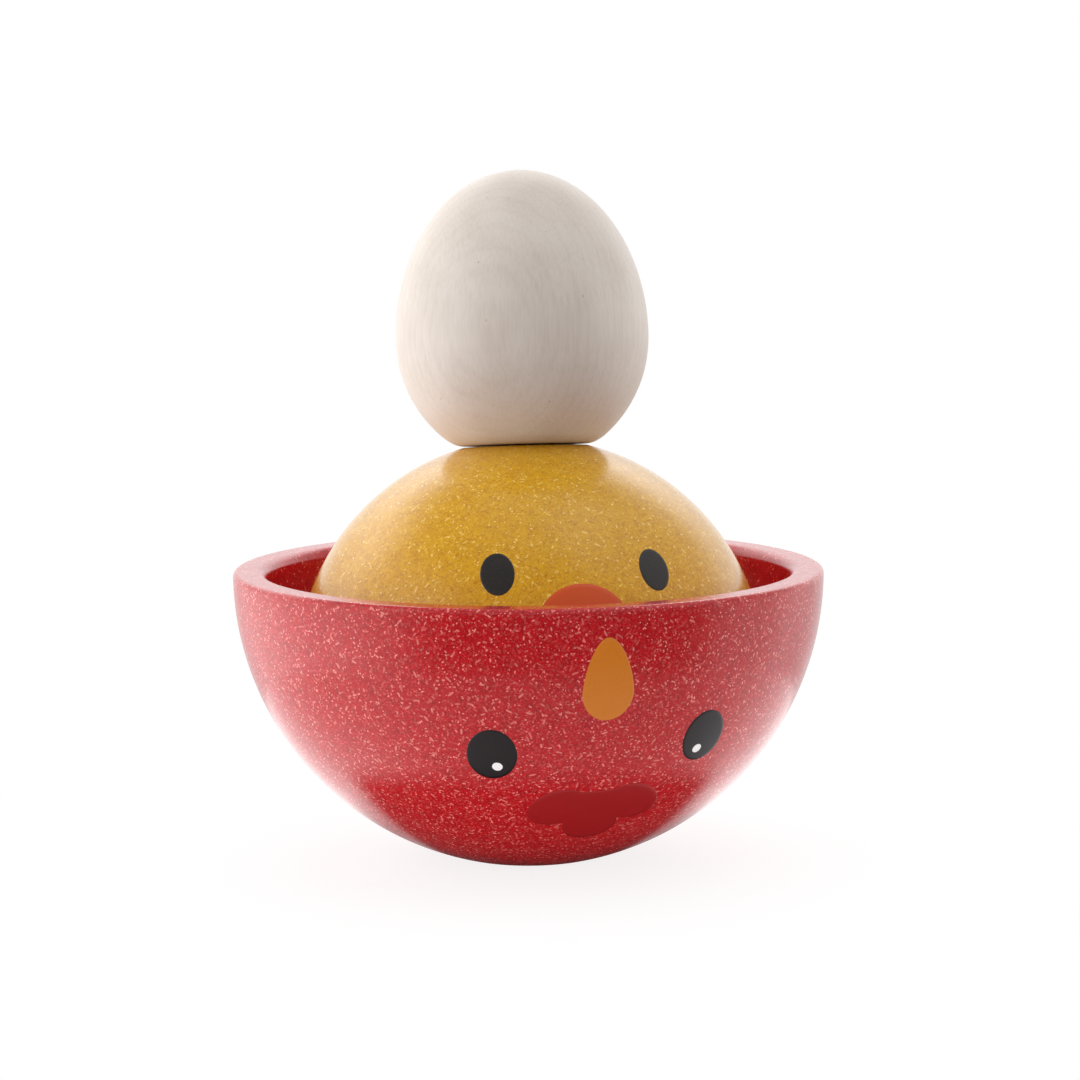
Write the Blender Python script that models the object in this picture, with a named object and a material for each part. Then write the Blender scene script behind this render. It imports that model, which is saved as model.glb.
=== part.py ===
"""Chicken nesting toy: a hen and a chick, both hollow domes, and an egg.

The hen lies on her crown as a bowl. The chick sits in her with its rim down, and the egg stands on the
chick's crown. Metres, +Z up, origin at the centre of the hen's flat crown, faces towards -Y.
Left and right are the animal's own.
"""
import math

import bmesh
import bpy
from mathutils import Vector

# Hen: one moulded dome, turned over to make a bowl
HEN_RADIUS = 0.0550
HEN_WALL = 0.0062
HEN_SKIRT = 0.0007            # from the dome's widest circle to the rim
HEN_CROWN_FLAT = 0.0135       # radius of the flat that she stands on
HEN_CROWN_ROUND = 0.0030
HEN_RIM_OUTER_ROUND = 0.0009
HEN_RIM_INNER_ROUND = 0.0019

# Chick: a smaller dome that nests in the hen
NEST_GAP = 0.0050             # all round between the two nested domes
CHICK_WALL = 0.0065
CHICK_SKIRT = 0.0024          # from its widest circle to its rim
CHICK_CROWN_FLAT = 0.0114
CHICK_CROWN_ROUND = 0.0018
CHICK_RIM_OUTER_ROUND = 0.0008
CHICK_RIM_INNER_ROUND = 0.0012

# Egg: turned in one piece, with a flat foot
EGG_RADIUS = 0.0236
EGG_ABOVE_WIDEST = 0.03115
EGG_BELOW_WIDEST = 0.0241     # to where the blunt end would close
EGG_FOOT_BELOW_WIDEST = 0.0201
EGG_FOOT_EASE = 0.0014

# How the loose pieces are set down: the chick tips back in the hen's round inside, like a ball in a cup
CHICK_TURN = math.radians(-1.1)
CHICK_TIP_BACK = math.radians(7.0)
CHICK_TIP_SIDE = math.radians(0.5)
SEAT_GAP = 0.0003             # between pieces that rest on each other

# Printed marks: thin films close over the domes
FILM_GAP = 0.0003
FILM_THICKNESS = 0.0002
HEN_FACE_ASKEW = math.radians(2.1)
HEN_EYE_AZIMUTH = math.radians(23.3)
HEN_EYE_LATITUDE = math.radians(27.3)
HEN_EYE_HALF_WIDTH = 0.0045
HEN_EYE_HALF_HEIGHT = 0.0055
HEN_GLINT_RADIUS = 0.0011
HEN_GLINT_INWARD = 0.0007
HEN_GLINT_UP = 0.0026
HEN_BEAK_LATITUDE = math.radians(15.2)
HEN_BEAK_HALF_WIDTH = 0.0047
HEN_BEAK_ROUND_END = 0.0055
HEN_BEAK_TIP_END = 0.0102
HEN_BEAK_TAPER = 0.17
COMB_LATITUDE = math.radians(46.0)
COMB_MIDDLE_LOBE_RADIUS = 0.00505
COMB_MIDDLE_LOBE_UP = 0.00225
COMB_SIDE_LOBE_HALF_LENGTH = 0.0059
COMB_SIDE_LOBE_HALF_WIDTH = 0.0047
COMB_SIDE_LOBE_LEAN = math.radians(45)  # its length runs up and outwards
COMB_SIDE_LOBE_OUT = 0.0070
COMB_SIDE_LOBE_DOWN = 0.00345
COMB_BASE_DOWN = 0.0080       # the straight base between the side lobes
CHICK_EYE_AZIMUTH = math.radians(21.3)
CHICK_EYE_LATITUDE = math.radians(25.9)
CHICK_EYE_HALF_WIDTH = 0.0031
CHICK_EYE_HALF_HEIGHT = 0.0042
CHICK_BEAK_LATITUDE = math.radians(13.0)
CHICK_BEAK_HALF_WIDTH = 0.0086
CHICK_BEAK_ROUND_END = 0.0077
CHICK_BEAK_ABOVE_RIM = 0.0032  # so that its tip stays clear of the hen's inside
CHICK_BEAK_TAPER = 0.35
EYE_SPLAY = math.radians(8.5)  # the tops of the eyes lean outwards

# How finely the round shapes are cut
HEN_SEGMENTS = 64
CHICK_SEGMENTS = 56
EGG_SEGMENTS = 44
DOME_STEPS = 14
ROUND_STEPS = 3
EYE_POINTS = 28
GLINT_POINTS = 14
BEAK_POINTS = 32
COMB_POINTS = 48
SHARP_EDGE = math.radians(40)
MERGE_DISTANCE = 1e-6

# Sizes that follow from those above
HEN_INNER_RADIUS = HEN_RADIUS - HEN_WALL
CHICK_RADIUS = HEN_INNER_RADIUS - NEST_GAP
CHICK_BEAK_TIP_END = CHICK_RADIUS * math.tan(CHICK_BEAK_LATITUDE - CHICK_BEAK_ABOVE_RIM / CHICK_RADIUS)


def crown_height(radius, flat, rounding):
    """Height of a dome's flat crown over the dome's centre."""
    return rounding + math.sqrt((radius - rounding) ** 2 - flat ** 2)


def chick_depth():
    """How far the chick's centre sits below the hen's, where its rim's edge meets her inside."""
    reach = HEN_INNER_RADIUS - SEAT_GAP - CHICK_RIM_OUTER_ROUND
    rounding_out = CHICK_RADIUS - CHICK_RIM_OUTER_ROUND
    return CHICK_RIM_OUTER_ROUND - CHICK_SKIRT + math.sqrt(reach ** 2 - rounding_out ** 2)


def clear_scene():
    """Starts from an empty scene."""
    for obj in list(bpy.data.objects):
        bpy.data.objects.remove(obj, do_unlink=True)


def linear(channel):
    """An sRGB channel, 0 to 1, as the linear value that a shader takes."""
    if channel <= 0.04045:
        return channel / 12.92
    return ((channel + 0.055) / 1.055) ** 2.4


def make_material(name, rgb, roughness):
    """A plain finish from an sRGB colour of 0 to 255."""
    material = bpy.data.materials.new(name)
    material.use_nodes = True
    shader = material.node_tree.nodes["Principled BSDF"]
    shader.inputs["Base Color"].default_value = [linear(value / 255) for value in rgb] + [1.0]
    shader.inputs["Roughness"].default_value = roughness
    shader.inputs["Metallic"].default_value = 0.0
    return material


def add_empty(name, parent=None, location=(0, 0, 0), rotation=(0, 0, 0)):
    """A frame that pieces are placed by."""
    empty = bpy.data.objects.new(name, None)
    empty.parent = parent
    empty.location = location
    empty.rotation_euler = rotation
    bpy.context.collection.objects.link(empty)
    return empty


def add_piece(name, bm, material, parent):
    """Turns a finished bmesh into a named, smooth-shaded object under its frame."""
    bmesh.ops.recalc_face_normals(bm, faces=bm.faces)
    mesh = bpy.data.meshes.new(name)
    bm.to_mesh(mesh)
    bm.free()
    mesh.shade_smooth()
    mesh.set_sharp_from_angle(angle=SHARP_EDGE)
    mesh.materials.append(material)
    piece = bpy.data.objects.new(name, mesh)
    piece.parent = parent
    bpy.context.collection.objects.link(piece)
    return piece


def arc(centre, radius, start, end, steps):
    """Points on a circle in the profile's plane, from angle start to angle end, both included."""
    angles = [start + (end - start) * i / steps for i in range(steps + 1)]
    return [(centre[0] + radius * math.cos(a), centre[1] + radius * math.sin(a)) for a in angles]


def rim_round(radius, rounding, skirt, side):
    """Centre of a rim's edge round, and the angle where it meets the dome; side is -1 outside, 1 inside."""
    height = rounding - skirt
    over = max(height, 0.0)
    out = math.sqrt((radius + side * rounding) ** 2 - over ** 2)
    return (out, height), math.atan2(over, out)


def dome_profile(radius, wall, skirt, flat, crown_round, outer_round, inner_round):
    """Outline of a hollow dome about its centre, from the crown, round the rim, to the inside's top."""
    quarter = math.pi / 2
    inner = radius - wall
    crown_centre = (flat, crown_height(radius, flat, crown_round) - crown_round)
    shoulder = math.atan2(crown_centre[1], crown_centre[0])
    outer_centre, outer_angle = rim_round(radius, outer_round, skirt, -1)
    inner_centre, inner_angle = rim_round(inner, inner_round, skirt, 1)
    points = [(0.0, crown_centre[1] + crown_round)]
    points += arc(crown_centre, crown_round, quarter, shoulder, ROUND_STEPS)
    points += arc((0, 0), radius, shoulder, outer_angle, DOME_STEPS)[1:]
    points += arc(outer_centre, outer_round, outer_angle, -quarter, ROUND_STEPS)[1:]
    points += arc(inner_centre, inner_round, -quarter, inner_angle - math.pi, ROUND_STEPS)
    points += arc((0, 0), inner, inner_angle, quarter, DOME_STEPS)[1:-1]
    points.append((0.0, inner))
    return points


def egg_profile():
    """Outline of the egg from its top to the middle of its foot, which is at height 0."""
    quarter = math.pi / 2
    foot_angle = math.asin(EGG_FOOT_BELOW_WIDEST / EGG_BELOW_WIDEST)
    ease_angle = math.asin((EGG_FOOT_BELOW_WIDEST - EGG_FOOT_EASE) / EGG_BELOW_WIDEST)

    def below(angle):
        height = EGG_FOOT_BELOW_WIDEST - EGG_BELOW_WIDEST * math.sin(angle)
        return EGG_RADIUS * math.cos(angle), height

    points = []
    for i in range(DOME_STEPS + 1):
        angle = quarter * (1 - i / DOME_STEPS)
        height = EGG_FOOT_BELOW_WIDEST + EGG_ABOVE_WIDEST * math.sin(angle)
        points.append((EGG_RADIUS * math.cos(angle), height))
    points[0] = (0.0, points[0][1])
    lower_steps = DOME_STEPS // 2
    points += [below(ease_angle * i / lower_steps) for i in range(1, lower_steps + 1)]
    start, corner = Vector(below(ease_angle)), Vector(below(foot_angle))
    end = corner - Vector((EGG_FOOT_EASE, 0))
    for i in range(1, ROUND_STEPS + 1):
        t = i / ROUND_STEPS
        bend = start * (1 - t) ** 2 + corner * 2 * t * (1 - t) + end * t ** 2
        points.append((bend.x, bend.y))
    points.append((0.0, 0.0))
    return points


def turned(profile, segments):
    """A closed solid turned about Z from a profile of (radius, height) that starts and ends on the axis."""
    bm = bmesh.new()
    line = [bm.verts.new((radius, 0, height)) for radius, height in profile]
    edges = [bm.edges.new(pair) for pair in zip(line, line[1:])]
    bmesh.ops.spin(bm, geom=line + edges, cent=(0, 0, 0), axis=(0, 0, 1),
                   angle=2 * math.pi, steps=segments, use_merge=True)
    bmesh.ops.remove_doubles(bm, verts=bm.verts, dist=MERGE_DISTANCE)
    return bm


def ellipse_outline(half_width, half_height, splay, points):
    """An upright ellipse whose top leans to +X by splay."""
    outline = []
    for i in range(points):
        angle = 2 * math.pi * i / points
        x, y = half_width * math.cos(angle), half_height * math.sin(angle)
        leaned = (x * math.cos(splay) + y * math.sin(splay), y * math.cos(splay) - x * math.sin(splay))
        outline.append(leaned)
    return outline


def drop_outline(half_width, round_end, tip_end, taper):
    """A drop, widest at its origin, with its round end up and its narrower tip down."""
    outline = []
    for i in range(BEAK_POINTS):
        angle = 2 * math.pi * i / BEAK_POINTS
        x, y = half_width * math.cos(angle), math.sin(angle)
        if y < 0:
            x *= 1 + taper * y
        outline.append((x, y * (round_end if y > 0 else tip_end)))
    return outline


def reach_of_ellipse(hub, ray, centre, long_axis, half_length, half_width):
    """How far from the hub a ray leaves an ellipse, or 0 where it misses it."""
    wide_axis = Vector((-long_axis.y, long_axis.x))

    def scaled(vector):
        return Vector((vector.dot(long_axis) / half_length, vector.dot(wide_axis) / half_width))

    start, step = scaled(hub - centre), scaled(ray)
    along = -start.dot(step) / step.length_squared
    inside = along ** 2 - (start.length_squared - 1) / step.length_squared
    return max(0.0, along + math.sqrt(inside)) if inside > 0 else 0.0


def comb_outline():
    """Three lobes on a straight base: for each direction, the farthest of the lobes and the base."""
    hub = Vector((0, -COMB_SIDE_LOBE_DOWN))
    middle = Vector((0, COMB_MIDDLE_LOBE_UP))
    lobes = [(middle, Vector((0, 1)), COMB_MIDDLE_LOBE_RADIUS, COMB_MIDDLE_LOBE_RADIUS)]
    for side in (-1, 1):
        long_axis = Vector((side * math.sin(COMB_SIDE_LOBE_LEAN), math.cos(COMB_SIDE_LOBE_LEAN)))
        lobes.append((Vector((side * COMB_SIDE_LOBE_OUT, -COMB_SIDE_LOBE_DOWN)), long_axis,
                      COMB_SIDE_LOBE_HALF_LENGTH, COMB_SIDE_LOBE_HALF_WIDTH))
    base_depth = COMB_BASE_DOWN - COMB_SIDE_LOBE_DOWN
    outline = []
    for i in range(COMB_POINTS):
        angle = 2 * math.pi * i / COMB_POINTS
        ray = Vector((math.cos(angle), math.sin(angle)))
        reach = max(reach_of_ellipse(hub, ray, *lobe) for lobe in lobes)
        if ray.y < 0 and abs(ray.x) * base_depth <= COMB_SIDE_LOBE_OUT * -ray.y:
            reach = max(reach, base_depth / -ray.y)
        point = hub + ray * reach
        outline.append((point.x, point.y))
    return outline, hub


def bridge(bm, ring_a, ring_b):
    """Quads between two rings of as many points."""
    count = len(ring_a)
    for i in range(count):
        j = (i + 1) % count
        bm.faces.new((ring_a[i], ring_a[j], ring_b[j], ring_b[i]))


def film(outline, hub, dome_radius, azimuth, latitude, hole=None):
    """A thin printed film: a flat outline bent over the dome.

    Azimuth is counted from the face and latitude from the rim. Rings run from the outline in to the hub,
    or in to the hole where there is one.
    """
    normal = Vector((math.sin(azimuth) * math.cos(latitude),
                     -math.cos(azimuth) * math.cos(latitude), math.sin(latitude)))
    across = Vector((math.cos(azimuth), math.sin(azimuth), 0))
    up = normal.cross(across)
    levels = (dome_radius + FILM_GAP, dome_radius + FILM_GAP + FILM_THICKNESS)

    def on_dome(point, level):
        direction = normal + across * (point[0] / dome_radius) + up * (point[1] / dome_radius)
        return direction.normalized() * level

    bm = bmesh.new()
    inner = hole or [hub] * len(outline)
    shares = (1.0, 0.5, 0.0) if hole else (1.0, 0.5)
    sheets = []
    for level in levels:
        rings = []
        for share in shares:
            flat = [Vector(a) * share + Vector(b) * (1 - share) for a, b in zip(outline, inner)]
            rings.append([bm.verts.new(on_dome(point, level)) for point in flat])
        for outside, inside in zip(rings, rings[1:]):
            bridge(bm, outside, inside)
        if not hole:
            centre = bm.verts.new(on_dome(hub, level))
            for a, b in zip(rings[-1], rings[-1][1:] + rings[-1][:1]):
                bm.faces.new((a, b, centre))
        sheets.append(rings)
    bridge(bm, sheets[0][0], sheets[1][0])
    if hole:
        bridge(bm, sheets[0][-1], sheets[1][-1])
    return bm


def add_eyes(animal, half_width, half_height, dome_radius, azimuth, latitude, ink, parent):
    """Both eyes of an animal, as plain films."""
    for word, side in (("left", 1), ("right", -1)):
        outline = ellipse_outline(half_width, half_height, side * EYE_SPLAY, EYE_POINTS)
        bm = film(outline, (0, 0), dome_radius, side * azimuth, latitude)
        add_piece(f"{animal}_{word}_eye", bm, ink, parent)


def add_hen_eyes(eye_ink, glint_ink, parent):
    """The hen's eyes: each film has a round hole that its white glint sits in."""
    for word, side in (("left", 1), ("right", -1)):
        place = (HEN_RADIUS, side * HEN_EYE_AZIMUTH, HEN_EYE_LATITUDE)
        middle = Vector((-side * HEN_GLINT_INWARD, HEN_GLINT_UP))
        outline = ellipse_outline(HEN_EYE_HALF_WIDTH, HEN_EYE_HALF_HEIGHT, side * EYE_SPLAY, EYE_POINTS)
        hole_radius = HEN_GLINT_RADIUS + FILM_GAP
        hole = [middle + Vector(p) for p in ellipse_outline(hole_radius, hole_radius, 0, EYE_POINTS)]
        add_piece(f"hen_{word}_eye", film(outline, middle, *place, hole=hole), eye_ink, parent)
        dot = ellipse_outline(HEN_GLINT_RADIUS, HEN_GLINT_RADIUS, 0, GLINT_POINTS)
        glint = [middle + Vector(p) for p in dot]
        add_piece(f"hen_{word}_eye_glint", film(glint, middle, *place), glint_ink, parent)


def build_hen(frame, eye_ink):
    """The hen's bowl and her printed face."""
    red = make_material("hen_composite", (186, 30, 34), 0.35)
    profile = dome_profile(HEN_RADIUS, HEN_WALL, HEN_SKIRT, HEN_CROWN_FLAT, HEN_CROWN_ROUND,
                           HEN_RIM_OUTER_ROUND, HEN_RIM_INNER_ROUND)
    add_piece("hen_bowl", turned(profile, HEN_SEGMENTS), red, frame)
    face = add_empty("hen_face", frame, rotation=(0, -HEN_FACE_ASKEW, 0))
    add_hen_eyes(eye_ink, make_material("white_ink", (248, 246, 242), 0.5), face)
    beak = drop_outline(HEN_BEAK_HALF_WIDTH, HEN_BEAK_ROUND_END, HEN_BEAK_TIP_END, HEN_BEAK_TAPER)
    beak_film = film(beak, (0, 0), HEN_RADIUS, 0, HEN_BEAK_LATITUDE)
    add_piece("hen_beak", beak_film, make_material("hen_beak_ink", (205, 120, 38), 0.4), face)
    comb, hub = comb_outline()
    comb_film = film(comb, hub, HEN_RADIUS, 0, COMB_LATITUDE)
    add_piece("hen_comb", comb_film, make_material("comb_ink", (143, 24, 27), 0.4), face)


def build_chick(frame, eye_ink):
    """The chick's dome and its printed face."""
    yellow = make_material("chick_composite", (215, 165, 35), 0.35)
    profile = dome_profile(CHICK_RADIUS, CHICK_WALL, CHICK_SKIRT, CHICK_CROWN_FLAT, CHICK_CROWN_ROUND,
                           CHICK_RIM_OUTER_ROUND, CHICK_RIM_INNER_ROUND)
    add_piece("chick_dome", turned(profile, CHICK_SEGMENTS), yellow, frame)
    add_eyes("chick", CHICK_EYE_HALF_WIDTH, CHICK_EYE_HALF_HEIGHT, CHICK_RADIUS,
             CHICK_EYE_AZIMUTH, CHICK_EYE_LATITUDE, eye_ink, frame)
    beak = drop_outline(CHICK_BEAK_HALF_WIDTH, CHICK_BEAK_ROUND_END, CHICK_BEAK_TIP_END, CHICK_BEAK_TAPER)
    beak_film = film(beak, (0, 0), CHICK_RADIUS, 0, CHICK_BEAK_LATITUDE)
    add_piece("chick_beak", beak_film, make_material("chick_beak_ink", (176, 72, 34), 0.4), frame)


def build_egg(frame):
    """The egg, on its foot."""
    wood = make_material("egg_wood", (225, 215, 205), 0.6)
    add_piece("egg", turned(egg_profile(), EGG_SEGMENTS), wood, frame)


def main():
    """Builds the three loose pieces, each under the frame that it is set down by."""
    clear_scene()
    eye_ink = make_material("eye_ink", (45, 42, 46), 0.4)
    hen_crown = crown_height(HEN_RADIUS, HEN_CROWN_FLAT, HEN_CROWN_ROUND)
    hen_frame = add_empty("hen_frame", location=(0, 0, hen_crown), rotation=(0, math.pi, 0))
    build_hen(hen_frame, eye_ink)
    tip = add_empty("chick_tip", location=(0, 0, hen_crown),
                    rotation=(-CHICK_TIP_BACK, CHICK_TIP_SIDE, CHICK_TURN))
    chick_frame = add_empty("chick_frame", tip, location=(0, 0, -chick_depth()))
    build_chick(chick_frame, eye_ink)
    chick_crown = crown_height(CHICK_RADIUS, CHICK_CROWN_FLAT, CHICK_CROWN_ROUND)
    egg_frame = add_empty("egg_frame", chick_frame, location=(0, 0, chick_crown + SEAT_GAP))
    build_egg(egg_frame)


main()
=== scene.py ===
"""Chicken nesting toy: surfaces, printed faces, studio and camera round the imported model.

The hen lies on her crown as a bowl, the chick sits in her with its rim down, and the egg stands on the
chick. Metres, +Z up, faces towards -Y. Left and right are the animal's own.
"""
import math

import bmesh
import bpy
from bpy.props import FloatProperty, FloatVectorProperty, PointerProperty
from mathutils import Matrix, Vector


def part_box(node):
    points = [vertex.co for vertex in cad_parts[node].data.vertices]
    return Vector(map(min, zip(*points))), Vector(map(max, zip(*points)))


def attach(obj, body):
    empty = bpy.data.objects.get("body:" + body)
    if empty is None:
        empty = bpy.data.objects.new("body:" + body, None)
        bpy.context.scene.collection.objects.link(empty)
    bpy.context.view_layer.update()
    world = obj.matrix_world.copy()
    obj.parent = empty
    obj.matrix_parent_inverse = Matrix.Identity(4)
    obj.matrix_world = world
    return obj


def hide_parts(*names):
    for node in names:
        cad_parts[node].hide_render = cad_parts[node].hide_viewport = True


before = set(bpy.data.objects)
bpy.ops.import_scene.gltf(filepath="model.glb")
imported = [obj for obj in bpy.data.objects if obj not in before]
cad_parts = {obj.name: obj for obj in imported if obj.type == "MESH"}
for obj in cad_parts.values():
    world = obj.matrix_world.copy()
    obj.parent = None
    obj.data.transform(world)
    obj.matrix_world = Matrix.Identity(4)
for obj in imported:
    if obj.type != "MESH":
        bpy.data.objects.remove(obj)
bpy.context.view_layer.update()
HEN_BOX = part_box("hen_bowl")

bl_info = {
    "name": "Chicken Nesting Toy",
    "version": (1, 0, 0),
    "blender": (4, 5, 0),
    "location": "View3D > Sidebar > Nesting Toy",
    "description": "A hen, a chick and an egg that nest and stack, with their finishes and a pale studio",
    "category": "Add Mesh",
}

MERGE_DISTANCE = 1e-7       # metres
TO_MM = 1000.0
SENSOR_WIDTH = 36.0         # mm


def srgb(red, green, blue):
    """An sRGB colour of 0 to 255 as the linear colour that a shader takes."""
    channels = [value / 255 for value in (red, green, blue)]
    return [c / 12.92 if c <= 0.04045 else ((c + 0.055) / 1.055) ** 2.4 for c in channels]


def length(name, default, description):
    """A length property."""
    return FloatProperty(name=name, description=description, default=default, unit="LENGTH", precision=5)


def angle(name, degrees, description):
    """An angle property, from degrees."""
    return FloatProperty(name=name, description=description, default=math.radians(degrees), subtype="ANGLE")


def colour(name, rgb, description):
    """A colour property, from an sRGB colour of 0 to 255."""
    return FloatVectorProperty(name=name, description=description, default=srgb(*rgb), subtype="COLOR",
                               size=3, min=0.0, max=1.0)


class HenSettings(bpy.types.PropertyGroup):
    """Sizes and colours of the hen."""
    radius: length("Radius", (HEN_BOX[1].x - HEN_BOX[0].x) / 2, "Outer radius of the dome")
    wall: length("Wall", 0.0062, "Thickness of the wall")
    skirt: length("Skirt", 0.0007, "From the widest circle to the rim")
    crown_flat: length("Crown flat", 0.0135, "Radius of the flat that she stands on")
    crown_round: length("Crown round", 0.0030, "Rounding round that flat")
    rim_outer_round: length("Rim outer round", 0.0009, "Rounding of the rim's outer edge")
    rim_inner_round: length("Rim inner round", 0.0019, "Rounding of the rim's inner edge")
    askew: angle("Face askew", 2.1, "How far the printed face leans on the bowl")
    eye_azimuth: angle("Eye azimuth", 23.3, "From the middle of the face to an eye")
    eye_latitude: angle("Eye latitude", 27.3, "From the rim to an eye")
    eye_half_width: length("Eye half width", 0.0045, "Half the width of an eye")
    eye_half_height: length("Eye half height", 0.0055, "Half the height of an eye")
    glint_radius: length("Glint radius", 0.0010, "Radius of the white dot in an eye")
    glint_inward: length("Glint inward", 0.0007, "From the eye's middle towards the beak")
    glint_up: length("Glint up", 0.0026, "From the eye's middle towards the comb")
    beak_latitude: angle("Beak latitude", 15.2, "From the rim to the beak's widest place")
    beak_half_width: length("Beak half width", 0.0047, "Half the width of the beak")
    beak_round_end: length("Beak round end", 0.0055, "From the widest place to the round end")
    beak_tip_end: length("Beak tip end", 0.0102, "From the widest place to the narrow end")
    beak_taper: FloatProperty(name="Beak taper", description="How much the tip narrows", default=0.17)
    comb_latitude: angle("Comb latitude", 46.0, "From the rim to the comb")
    comb_middle_radius: length("Middle lobe radius", 0.00505, "Radius of the comb's middle lobe")
    comb_middle_up: length("Middle lobe up", 0.00225, "From the comb's middle up to the middle lobe")
    comb_side_half_length: length("Side lobe half length", 0.0059, "Half the length of a side lobe")
    comb_side_half_width: length("Side lobe half width", 0.0047, "Half the width of a side lobe")
    comb_side_lean: angle("Side lobe lean", 45, "How far the side lobes lean outwards")
    comb_side_out: length("Side lobe out", 0.0070, "From the comb's middle to a side lobe")
    comb_side_down: length("Side lobe down", 0.00345, "From the comb's middle down to the side lobes")
    comb_base_down: length("Base down", 0.0080, "From the comb's middle down to its straight base")
    body: colour("Body", (200, 9, 24), "Dyed sawdust composite")
    shade: colour("Shade", (150, 3, 14), "Denser dye between the fibres")
    fibre: colour("Fibre", (255, 150, 140), "Pale fibres that took less dye")
    beak: colour("Beak", (218, 127, 20), "Printed beak")
    comb: colour("Comb", (163, 11, 16), "Printed comb")
    eye: colour("Eye", (19, 15, 18), "Printed eyes")
    glint: colour("Glint", (255, 255, 255), "White dots in the eyes")


class ChickSettings(bpy.types.PropertyGroup):
    """Sizes, place and colours of the chick."""
    nest_gap: length("Nest gap", 0.0050, "All round between the two nested domes")
    skirt: length("Skirt", 0.0024, "From the dome's widest circle to the rim")
    wall: length("Wall", 0.0065, "Thickness of the wall")
    crown_flat: length("Crown flat", 0.0114, "Radius of the flat that the egg stands on")
    crown_round: length("Crown round", 0.0018, "Rounding round that flat")
    rim_outer_round: length("Rim outer round", 0.0008, "Rounding of the rim's outer edge")
    rim_inner_round: length("Rim inner round", 0.0012, "Rounding of the rim's inner edge")
    seat_gap: length("Seat gap", 0.0003, "Between pieces that rest on each other")
    turn: angle("Turn", -1.1, "How far the chick is turned in the hen")
    tip_back: angle("Tip back", 7.0, "How far the chick tips back in the hen")
    tip_side: angle("Tip side", 0.5, "How far the chick tips to a side")
    eye_azimuth: angle("Eye azimuth", 21.3, "From the middle of the face to an eye")
    eye_latitude: angle("Eye latitude", 25.9, "From the rim to an eye")
    eye_half_width: length("Eye half width", 0.0031, "Half the width of an eye")
    eye_half_height: length("Eye half height", 0.0042, "Half the height of an eye")
    beak_latitude: angle("Beak latitude", 13.0, "From the rim to the beak's widest place")
    beak_half_width: length("Beak half width", 0.0086, "Half the width of the beak")
    beak_round_end: length("Beak round end", 0.0077, "From the widest place to the round end")
    beak_above_rim: length("Beak above rim", 0.0032, "From the rim to the beak's tip")
    beak_taper: FloatProperty(name="Beak taper", description="How much the tip narrows", default=0.35)
    body: colour("Body", (223, 167, 0), "Dyed sawdust composite")
    shade: colour("Shade", (184, 120, 0), "Denser dye between the fibres")
    fibre: colour("Fibre", (255, 216, 110), "Pale fibres that took less dye")
    beak: colour("Beak", (206, 74, 12), "Printed beak")


class EggSettings(bpy.types.PropertyGroup):
    """Sizes and colours of the egg."""
    radius: length("Radius", 0.0236, "Widest radius")
    above_widest: length("Above widest", 0.03115, "From the widest circle to the top")
    below_widest: length("Below widest", 0.0241, "To where the blunt end would close")
    foot_below_widest: length("Foot below widest", 0.0201, "From the widest circle to the foot")
    foot_ease: length("Foot ease", 0.0014, "Easing of the foot's edge")
    wash: colour("Wash", (226, 216, 207), "Wood under a thin white wash")
    grain: colour("Grain", (194, 176, 160), "Wood where the wash is thin")
    pore: colour("Pore", (120, 98, 82), "Open pores of the wood")


class StudioSettings(bpy.types.PropertyGroup):
    """Camera, room and table."""
    camera_azimuth: angle("Camera azimuth", -14.44, "From the toy's front round to the camera")
    camera_distance: length("Camera distance", 0.660, "From the hen's axis")
    camera_height: length("Camera height", 0.1431, "Over the table")
    camera_yaw: angle("Camera yaw", 0.191, "How far the camera looks to the right of the axis")
    camera_pitch: angle("Camera pitch", 7.267, "How far the camera looks down")
    camera_roll: angle("Camera roll", -0.378, "Tilt of the camera about its line of sight")
    lens: FloatProperty(name="Lens", description="Focal length on a 36 mm sensor", default=118.84)
    light: FloatProperty(name="Light", description="Strength of the lit parts of the room", default=1.0)
    room: FloatProperty(name="Room", description="Strength of the dim rest of the room", default=0.45)
    table: colour("Table", (250, 250, 250), "Pale table top")


def arc(centre, radius, start, end, steps):
    """Points on a circle in the profile's plane, from angle start to angle end, both included."""
    angles = [start + (end - start) * i / steps for i in range(steps + 1)]
    return [(centre[0] + radius * math.cos(a), centre[1] + radius * math.sin(a)) for a in angles]


def between(a, b, shares=(0.04, 0.35, 0.65, 0.96)):
    """Points on the straight line from a to b, without its ends; those near the ends keep flats flat."""
    return [(a[0] + (b[0] - a[0]) * t, a[1] + (b[1] - a[1]) * t) for t in shares]


def crown_height(radius, flat, rounding):
    """Height of a dome's flat crown over the dome's centre."""
    return rounding + math.sqrt((radius - rounding) ** 2 - flat ** 2)


def rim_round(radius, rounding, skirt, side):
    """Centre of a rim's edge round, and the angle where it meets the dome; side is -1 outside, 1 inside."""
    height = rounding - skirt
    over = max(height, 0.0)
    out = math.sqrt((radius + side * rounding) ** 2 - over ** 2)
    return (out, height), math.atan2(over, out)


DOME_STEPS = 90             # along a profile
ROUND_STEPS = 10            # along an edge's rounding
SEGMENTS = 256              # round the axis


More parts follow.
